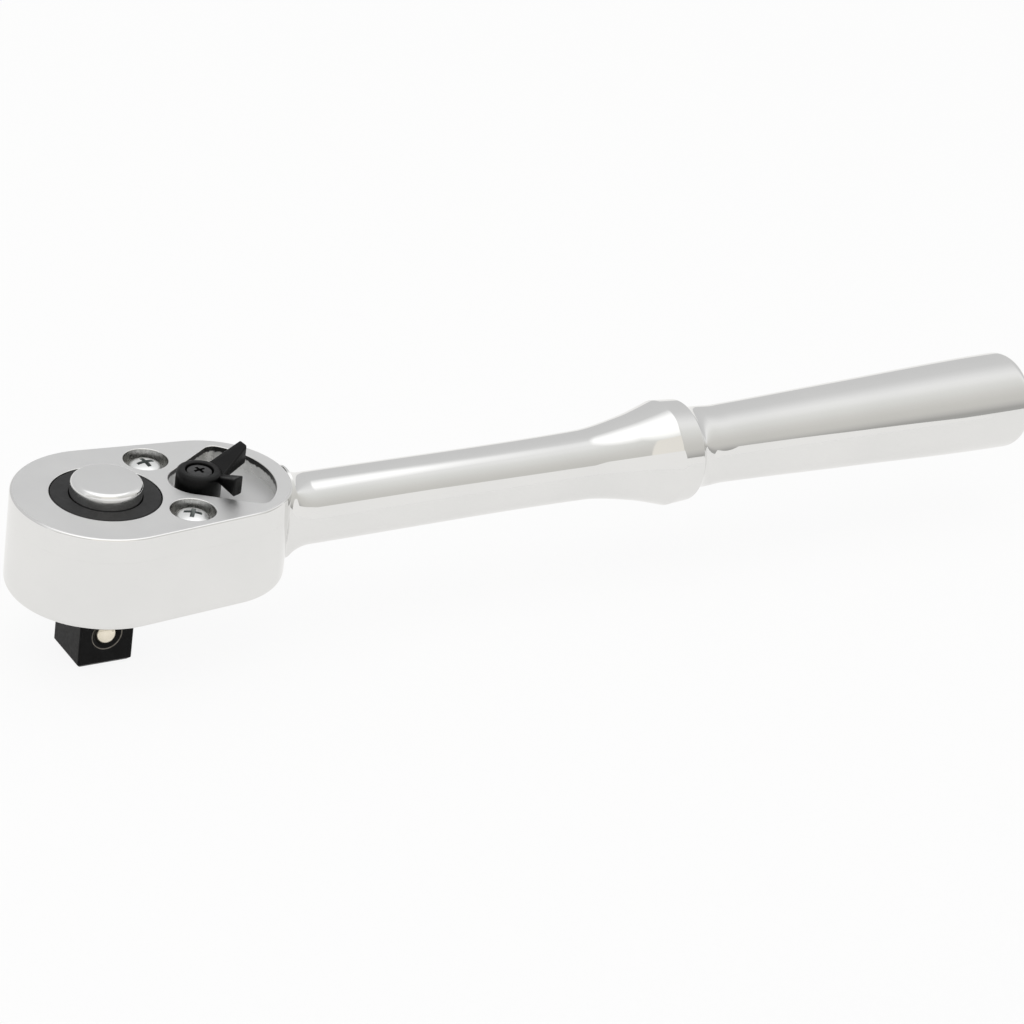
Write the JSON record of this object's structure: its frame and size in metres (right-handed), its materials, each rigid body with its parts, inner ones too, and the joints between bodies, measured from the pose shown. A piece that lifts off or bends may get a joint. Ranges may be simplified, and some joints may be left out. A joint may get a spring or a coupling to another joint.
{
  "type": "quick-release ratchet",
  "caption": "Chromed 3/8 inch quick-release ratchet with a press button, a socket ball and a swallow-tail reversing lever.",
  "frame": {"origin": "middle of the drive square's end face", "axes": "+Z along the drive axis towards the cover and the button, +X along the handle, +Y to the left of the handle seen from above"},
  "size_m": [0.1993, 0.0304, 0.0334],
  "materials": {
    "polished_chrome": "polished",
    "satin_chrome": "satin",
    "black_oxide": "black oxide, satin",
    "black_lever": "matte black",
    "bright_zinc": "bright zinc",
    "hardened_steel": "ground",
    "ball_steel": "polished",
    "spring_steel": "drawn",
    "black_rubber": "matte"
  },
  "bodies": {
    "head": {"ratchet_body": "polished_chrome", "cover_plate": "satin_chrome", "cover_screw_far": "bright_zinc", "cover_screw_near": "bright_zinc", "thrust_washer": "hardened_steel", "friction_washer": "spring_steel", "lever_o_ring": "black_rubber"},
    "drive": {"drive_gear": "black_oxide", "hub_o_ring": "black_rubber", "drive_o_ring": "black_rubber", "button_spring": "spring_steel"},
    "button": {"release_button": "satin_chrome", "release_pin": "hardened_steel"},
    "ball": {"socket_ball": "ball_steel"},
    "lever": {"reversing_lever": "black_lever", "lever_screw": "black_oxide", "lever_spindle": "hardened_steel", "detent_spring": "spring_steel"},
    "plunger": {"detent_plunger": "hardened_steel"},
    "pawl": {"pawl": "hardened_steel"}
  },
  "joints": [
    {"name": "drive_spin", "type": "hinge", "parent": "head", "child": "drive", "pos_m": [0, 0, 0.0212], "axis": [0, 0, 1], "continuous": true},
    {"name": "button_press", "type": "slide", "parent": "drive", "child": "button", "axis": [0, 0, -1], "range_m": [0, 0.002], "stiffness_N_per_m": 1200, "springref_m": -0.004, "deforming": ["button_spring"]},
    {"name": "ball_retract", "type": "slide", "parent": "drive", "child": "ball", "axis": [0, 1, 0], "range_m": [0, 0.0008]},
    {"name": "lever_turn", "type": "hinge", "parent": "head", "child": "lever", "pos_m": [0.0164, 0, 0.0212], "axis": [0, 0, 1], "range_deg": [0, 60]},
    {"name": "plunger_slide", "type": "slide", "parent": "lever", "child": "plunger", "axis": [-0.866, 0.5, 0], "range_m": [0, 0.0004], "stiffness_N_per_m": 1500, "springref_m": -0.001, "deforming": ["detent_spring"]},
    {"name": "pawl_rock", "type": "hinge", "parent": "head", "child": "pawl", "pos_m": [0.0164, 0, 0.0212], "axis": [0, 0, 1], "range_deg": [-7, 7], "stiffness_Nm_per_rad": 0.05}
  ],
  "couplings": [
    {"joint": "ball_retract", "follows": "button_press", "ratio": 0.4}
  ]
}
